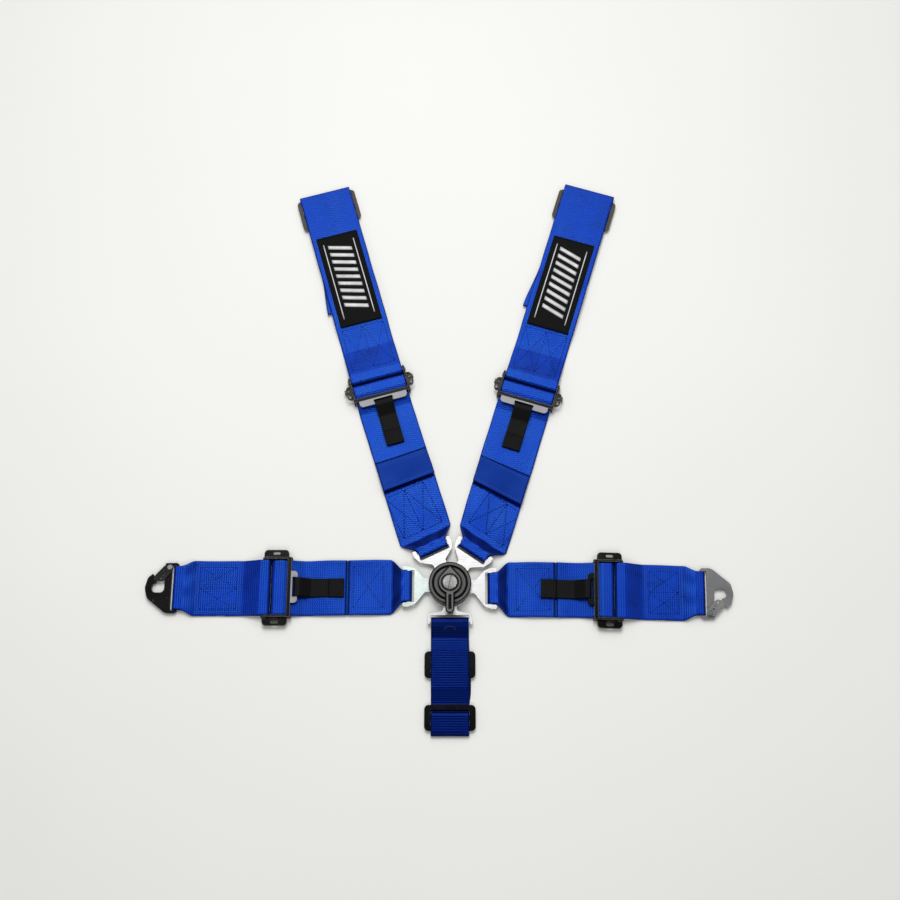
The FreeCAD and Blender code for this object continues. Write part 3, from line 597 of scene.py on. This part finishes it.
def tighten(pieces, name, held, free):
    """Gives each piece of webbing its own copy of its mesh."""
    for piece in pieces:
        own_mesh(piece)


def dress(cloth, sewn, body, node, slack=None):
    """Puts cloth and what is sewn on it on a body, instead of a CAD node; with slack, gives them their own
    meshes.
    """
    show(cloth, body, node)
    for piece in sewn:
        show(piece, body)
    if slack:
        tighten([cloth] + sewn, *slack)


def lower_strap(name):
    """Webbing from one adjuster to its tongue and back: one length, sewn at the tongue."""
    t, a = TONGUE[name], ADJUSTER[name]
    length = (a.at(STRAP_JOIN, 0, 0) - t.at(TAPER[1], 0, 0)).length
    flap = FLAP[name] * length
    rise, hem = FLAP_RISE[name], FLAP_HEM[name]
    wide = WEB / 2
    start, end = (t, TAPER[1]), (a, STRAP_JOIN)
    loose = 1.5              # how far the slack between the two frames stands off the surface

    def width(x):
        return LOOP_W / 2 + (wide - LOOP_W / 2) * smooth((x - TAPER[0] + 2) / (TAPER[1] - TAPER[0] + 2))

    def gather(x):
        return 1.1 * smooth((x - 5) / 6) * smooth((TAPER[1] - x) / 8)

    rows = between(start, end, [(flap - 2, HIGH, 0), (0, HIGH, 0)], wide, loose)[:-1]
    loop = [(TAPER[1], HIGH, 0), (TAPER[1] - 4, HIGH, BEND), (9, t.z + LOOP_R, BEND)]
    loop += hairpin(0, t.z, LOOP_R, -1)
    loop += [(9, t.z - LOOP_R, BEND), (TAPER[1] - 4, LOW, BEND), (TAPER[1], LOW, 0)]
    rows += along(t, loop, width, gather=gather)
    rows += between(start, end, [(0, LOW, 0), (length, LOW, 0)], wide, loose)[1:-1]
    bar, z = bar_place(a, "adjuster_tilt_" + name)
    loop = [(STRAP_JOIN, LOW, 0), *reversed(hairpin(bar, z, LOCK_LOOP_R, 1, SLACK)),
            (bar - 9, z + LOCK_LOOP_R, BEND), (STRAP_JOIN + 4, HIGH, BEND), (STRAP_JOIN, HIGH, 0)]
    rows += along(a, loop, wide)
    over = 2 * HEM_R
    if hem:
        tail = [(length, HIGH, 0), (flap + 34, HIGH, 30), (flap, HIGH + rise, HEM_R),
                (flap - 0.01, HIGH + rise + over, HEM_R), (flap + 34, HIGH + over, 30),
                (flap + hem, HIGH + over, 0)]
    else:
        tail = [(length, HIGH, 0), (flap, HIGH + rise, 0)]
    rows += between(start, end, tail, wide, loose)[1:]
    strap, long = ribbon("webbing_lower_" + name, rows, PLY, BLUE[name.split("_")[0]], 0.25, hem + 1.5,
                         HEMMED if hem else None)
    top = surface(strap)
    if name in SHOULDERS:
        box = boxed(t.plan, TAPER[1] + 6, TAPER[1] + flap - 8, wide - 9, 2, True)
        turn = a.x.lerp(t.x, 0.65)
        across = Vector((-turn.y, turn.x, 0)).normalized()
        foot, run = t.plan(TAPER[1], 0), a.plan(STRAP_JOIN, 0) - t.plan(TAPER[1], 0)
        hems = [[foot + run * (d / length) + across * y for y in (4 - wide, wide - 4)]
                for d in (flap + 4, flap + hem - 4)]
        threads = [stitching("stitch_box_" + name, box, top, BLUE_THREAD, 3.4, 0.7, 0.55),
                   stitching("stitch_hem_" + name, hems, top, PALE_THREAD, 3.2, 0.6, 0.5)]
    else:
        x0, x1 = TAPER[1] + 5, TAPER[1] + flap - 5
        box = boxed(t.plan, x0 + 4, x1 - 4, wide - 9)
        tacks = zigzag(t.plan, x0, wide - 5) + zigzag(t.plan, x1, wide - 5)
        threads = [stitching("stitch_box_" + name, box, top, BLUE_THREAD),
                   stitching("stitch_tack_" + name, tacks, top, PALE_THREAD, 2.9, 0.4, 0.3)]
    body = "strap_lower_" + name
    dress(strap, threads, body, body,
          (name, t.plan(0, 0), a.plan(bar, 0)))


def rear_path(z, end, foot):
    """A path around the rear bar at height z, from a tail's end to where the top layer comes down."""
    return [(REAR_X + end, LOW, 0), (REAR_X + 26, LOW, BEND), (REAR_X + 9, z - REAR_LOOP_R, BEND),
            *reversed(hairpin(REAR_X, z, REAR_LOOP_R, -1, SLACK)),
            (REAR_X + 9, z + REAR_LOOP_R, BEND), (REAR_X + foot, HIGH, 2 * BEND)]


def upper_shoulder(name):
    """Webbing around the rear bar, folded at its far end, with its tail back under itself."""
    a, body = ADJUSTER[name], "strap_upper_" + name
    far = a.extent(body)[1] - PLY / 2
    reached = a.extent("slide_" + name)[0] - 1000 * max(JOINTS["slide_travel_" + name]["range_m"])

    def loose(x):
        return 1.6 * smooth((x - REAR_X - 92) / 40) * smooth((reached - 3 - x) / 30)

    def drift(x):
        return 6.5 * smooth((reached - 2 - x) / 70)

    turn = far - 6
    top_layer = rear_path(a.z, 60, 48)
    top_layer += [(REAR_X + 62, HIGH, 30), (REAR_X + 94, OVER_Z, 40), (turn, OVER_Z, 0)]
    fold = [(turn, OVER_Z, 0), (far, OVER_Z, FOLD_R), (far, TAIL_Z, FOLD_R), (turn, TAIL_Z, 0)]
    rows = along(a, top_layer, WEB / 2, loose) + along(a, fold, WEB / 2)[1:]
    rows += along(a, [(turn, TAIL_Z, 0), (REAR_X + 113, TAIL_Z, 0)], WEB / 2, loose, drift=drift)[1:]
    strap, long = ribbon("webbing_upper_" + name, rows, PLY, BLUE["shoulder"])
    box = boxed(a.plan, REAR_X + 15, REAR_X + 82, WEB / 2 - 7, 2, True)
    threads = [stitching("stitch_anchor_" + name, box, surface(strap), BLUE_THREAD)]
    dress(strap, threads, body, body,
          (name, a.plan(far, 0), a.plan(REAR_X, 0)))
    patch(name, loose)


def patch(name, loose):
    """A shoulder strap's patch, which follows the looseness of the webbing under it."""
    a, node, body = ADJUSTER[name], "patch_" + name, "strap_upper_" + name
    p0, p1, q0, q1 = a.extent(node)
    z = OVER_Z + PLY / 2 + 0.5
    count = 40
    steps = [p0 + (p1 - p0) * i / count for i in range(count + 1)]
    rows = [Row(a.at(x, 0, z), a.y, (q1 - q0) / 2, loose(x)) for x in steps]
    cloth, long = ribbon("cover_" + node, rows, 0.9, PATCH, 0.0)
    top = surface(cloth)
    inset = 2.5
    x0, x1, y0, y1 = p0 + inset, p1 - inset, q0 + inset, q1 - inset
    border = [a.plan(x0, y0), a.plan(x1, y0), a.plan(x1, y1), a.plan(x0, y1), a.plan(x0, y0)]
    sewn = [stitching("stitch_" + node, [border], top, BLACK_THREAD, 2.6, 0.5, 0.5, 0.4),
            patch_print(a, p0, p1, q0, q1, top, "print_" + name)]
    dress(cloth, sewn, body, node)


def patch_print(a, p0, p1, q0, q1, top, name):
    """A plain pattern on a patch: slanted bars between two long lines."""
    middle, reach = (q0 + q1) / 2, (q1 - q0) / 2 - 14
    bars = []                # each bar's two long edges, as plan points
    for i in range(9):
        x = p0 + 24 + i * (p1 - p0 - 52) / 8
        bars.append([[(x + side, middle - reach), (x + side + 10, middle + reach)] for side in (-3, 3)])
    for y in (q0 + 7.5, q1 - 9.0):
        bars.append([[(p0 + 12, edge), (p1 - 12, edge)] for edge in (y, y + 1.5)])
    verts, faces = [], []
    cuts = 12
    for edges in bars:
        base = len(verts)
        for i in range(cuts + 1):
            share = i / cuts
            for (x0, y0), (x1, y1) in edges:
                hit = top(a.plan(x0 + (x1 - x0) * share, y0 + (y1 - y0) * share))
                verts += [hit + Vector((0, 0, 0.16)), hit - Vector((0, 0, 0.1))]
        for i in range(cuts):
            k = base + 4 * i
            faces += [(k, k + 4, k + 6, k + 2), (k + 1, k + 3, k + 7, k + 5), (k, k + 1, k + 5, k + 4),
                      (k + 2, k + 6, k + 7, k + 3)]
        k = base + 4 * cuts
        faces += [(base, base + 2, base + 3, base + 1), (k, k + 1, k + 3, k + 2)]
    return new_object(name, verts, faces, PRINT)


def upper_lap(name):
    """Short webbing between an adjuster's rear bar and a snap hook, narrowed at the hook."""
    a, body = ADJUSTER[name], "strap_upper_" + name
    hook, axis_z = bar_place(a, "hook_hinge_" + name)
    middle = (hook - REAR_X) / 2

    def width(x):
        return HOOK_LOOP_W / 2 + (WEB - HOOK_LOOP_W) / 2 * smooth((hook - 5 - x) / 20)

    def gather(x):
        return 0.8 * smooth((x - hook + 27) / 8) * smooth((hook - 6 - x) / 6)

    path = rear_path(a.z, middle - 6, 32)
    path += [(hook - 26, HIGH, BEND), (hook - 8, axis_z + LOOP_R, BEND),
             *hairpin(hook, axis_z, LOOP_R, 1, 0.8), (REAR_X + middle + 6, LOW, 0)]
    strap, long = ribbon("webbing_upper_" + name, along(a, path, width, gather=gather), PLY, BLUE["lap"])
    top = surface(strap)
    x0, x1 = REAR_X + 36, hook - 26
    box = boxed(a.plan, x0 + 5, x1 - 5, WEB / 2 - 9, 2, True)
    tacks = zigzag(a.plan, x0, WEB / 2 - 5) + zigzag(a.plan, x1, WEB / 2 - 7)
    threads = [stitching("stitch_anchor_" + name, box, top, BLUE_THREAD),
               stitching("stitch_bartack_" + name, tacks, top, PALE_THREAD, 2.9, 0.4, 0.3)]
    dress(strap, threads, body, body,
          (name, a.plan(hook, 0), a.plan(REAR_X, 0)))


def pull_tab(name):
    """Narrow black webbing through the lip, its sewn end folded over."""
    a, node = ADJUSTER[name], "pull_tab_" + name
    radius = 1.9 + 0.3 + TAB_PLY / 2
    end = LEVER_BAR_X - TAB_LEN
    low, high = TAB_Z, TAB_Z + TAB_PLY + 0.3
    over = TAB_PLY + 0.15
    path = [(end + 21, high + over, 0), (end, high + over, over / 2), (end, high, over / 2),
            (LEVER_BAR_X - 20, high, BEND), (LEVER_BAR_X - 4, LEVER_BAR_Z + radius, BEND),
            *hairpin(LEVER_BAR_X, LEVER_BAR_Z, radius, 1),
            (LEVER_BAR_X - 4, LEVER_BAR_Z - radius, 3.0), (LEVER_BAR_X - 17, low, BEND), (end, low, 0)]
    tab, long = ribbon("webbing_tab_" + name, along(a, path, TAB_W / 2), TAB_PLY, TAB, 0.1)
    box = boxed(a.plan, end + 3, end + 18, TAB_W / 2 - 3.5)
    seam = stitching("stitch_tab_" + name, box, surface(tab), BLACK_THREAD, 2.4, 0.6, 0.3)
    dress(tab, [seam], node, node)


def crotch_strap():
    """Two-inch webbing sewn around its tongue, folded at the bottom, its tail back on top.

    The tail goes under the lower slide's first bar and over its other two.
    """
    t, node = TONGUE["crotch"], "strap_crotch"
    far = t.extent(node)[1] - PLY / 2
    slide_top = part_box("slide_crotch_lower")[1].z / MM
    first = t.extent("slide_crotch_lower")[0]
    woven = slide_top + 0.15 + PLY / 2
    fold = (woven - LOW) / 2
    tail, over = 23.5, 1.6
    end_z = OVER_Z - 0.7

    def skew(x):
        return 2.6 * smooth((x - 20) / 60) * smooth((118 - x) / 24)

    under = [(22, LOW, 0), (18, LOW, BEND), (9, t.z - LOOP_R, BEND), *reversed(hairpin(0, t.z, LOOP_R, -1)),
             (6, t.z + LOOP_R, BEND), (20, TAIL_Z, BEND), (82, TAIL_Z, BEND), (92, LOW, BEND), (120, LOW, 0)]
    top_layer = [(120, LOW, 0), (far, LOW, fold), (far, woven, fold), (first + 12.5, woven, 3),
                 (first + 6.5, HIGH, 3), (106, HIGH, BEND), (92, OVER_Z, BEND), (tail + 15, OVER_Z, 40),
                 (tail, end_z, over / 2), (tail, end_z - over, over / 2), (tail + 14, OVER_Z - over, 0)]
    rows = along(t, under, WEB_CROTCH / 2, drift=skew)
    rows += along(t, top_layer, WEB_CROTCH / 2)[1:]
    strap, long = ribbon("webbing_crotch", rows, PLY, BLUE["crotch"], 0.15)
    arc = [t.plan(14.5 - 6.5 * math.cos(k * 0.26), 8.5 * math.sin(k * 0.26)) for k in range(-5, 6)]
    threads = [stitching("stitch_arc_crotch", [arc], surface(strap), BROWN_THREAD, 2.2, 0.0, 0.6)]
    dress(strap, threads, node, node)


def outline(name, node, body, radius):
    """A dark line of painted shade along the border of a solid's upward faces: the sides only one such face
    has.
    """
    mesh = frame["nodes"][node].data
    count = {}
    for face in mesh.polygons:
        if face.normal.z > 0.97:
            border = [mesh.vertices[i].co / MM for i in face.vertices]
            for p, q in zip(border, border[1:] + border[:1]):
                ends = frozenset(tuple(round(c, 2) for c in end) for end in (p, q))
                count.setdefault(ends, []).append((p, q))
    verts, faces = [], []
    for sides in count.values():
        p, q = sides[0]
        if len(sides) > 1 or (q - p).length < 0.05:
            continue
        out = (q - p).normalized().cross(Vector((0, 0, 1))) * radius
        up = Vector((0, 0, radius * 0.35))
        base = len(verts)
        for c in (p, q):
            verts += [c + out, c + up, c - out, c - up]
        faces += [(base + k, base + 4 + k, base + 4 + (k + 1) % 4, base + (k + 1) % 4) for k in range(4)]
        faces += [(base, base + 1, base + 2, base + 3), (base + 7, base + 6, base + 5, base + 4)]
    show(new_object(name, verts, faces, SHADE_LINE), body)


# Painted shade: dark lines where shade falls around the lever and around the dial.
outline("lever_outline", "release_lever", "handle", 0.7)
outline("dial_outline", "buckle_dial", "handle", 0.6)
for arm in SHOULDERS + LAPS:
    lower_strap(arm)
    pull_tab(arm)
for arm in SHOULDERS:
    upper_shoulder(arm)
for arm in LAPS:
    upper_lap(arm)
crotch_strap()


# ---------------------------------------------------------------- floor, light, camera

def floor():
    s = Shader("floor_card")
    cloud = s.noise(2.2, 3.0, s.place())
    tint = s.blend(s.span(cloud, 0.3, 0.7), rgba(0.885, 0.882, 0.845), rgba(0.905, 0.902, 0.87))
    material = s.finish(Base_Color=tint, Roughness=s.span(cloud, 0.3, 0.7, 0.7, 0.8))
    half, z = 3000, -0.3
    corners = [(-half, -half, z), (half, -half, z), (half, half, z), (-half, half, z)]
    new_object("floor", corners, [(0, 1, 2, 3)], material)


def softbox(name, place, target, size, power):
    light = bpy.data.lights.new(name, "AREA")
    light.shape, light.size, light.energy = "SQUARE", size, power
    obj = bpy.data.objects.new(name, light)
    bpy.context.scene.collection.objects.link(obj)
    obj.location = place
    obj.rotation_euler = (Vector(target) - Vector(place)).to_track_quat("-Z", "Y").to_euler()


def studio():
    scene = bpy.context.scene
    world = bpy.data.worlds.new("studio")
    world.use_nodes = True
    background = world.node_tree.nodes["Background"].inputs
    background["Color"].default_value = (0.95, 0.97, 1.0, 1.0)
    background["Strength"].default_value = 0.17
    scene.world = world
    softbox("key", (-0.1, 0.95, 2.1), (0, 0.15, 0), 1.1, 30)
    softbox("low", (0.1, -1.7, 2.2), (0, 0.0, 0), 1.3, 15)
    softbox("top", (0, 2.9, 2.4), (0, 0.3, 0), 1.4, 20)
    softbox("right", (1.9, 0.3, 1.7), (0, 0.1, 0), 1.0, 4)
    softbox("left", (-1.9, 0.1, 1.7), (0, 0.1, 0), 1.0, 4)
    scene.view_settings.view_transform = "Standard"
    camera = bpy.data.objects.new("camera", bpy.data.cameras.new("camera"))
    scene.collection.objects.link(camera)
    camera.data.lens, camera.data.sensor_width = 52.5, 36
    camera.location = (0.0001, -0.399, 1.758)
    aim = Vector((0.0001, 0.196, 0)) - camera.location
    camera.rotation_euler = aim.to_track_quat("-Z", "Y").to_euler()
    scene.camera = camera


floor()
studio()
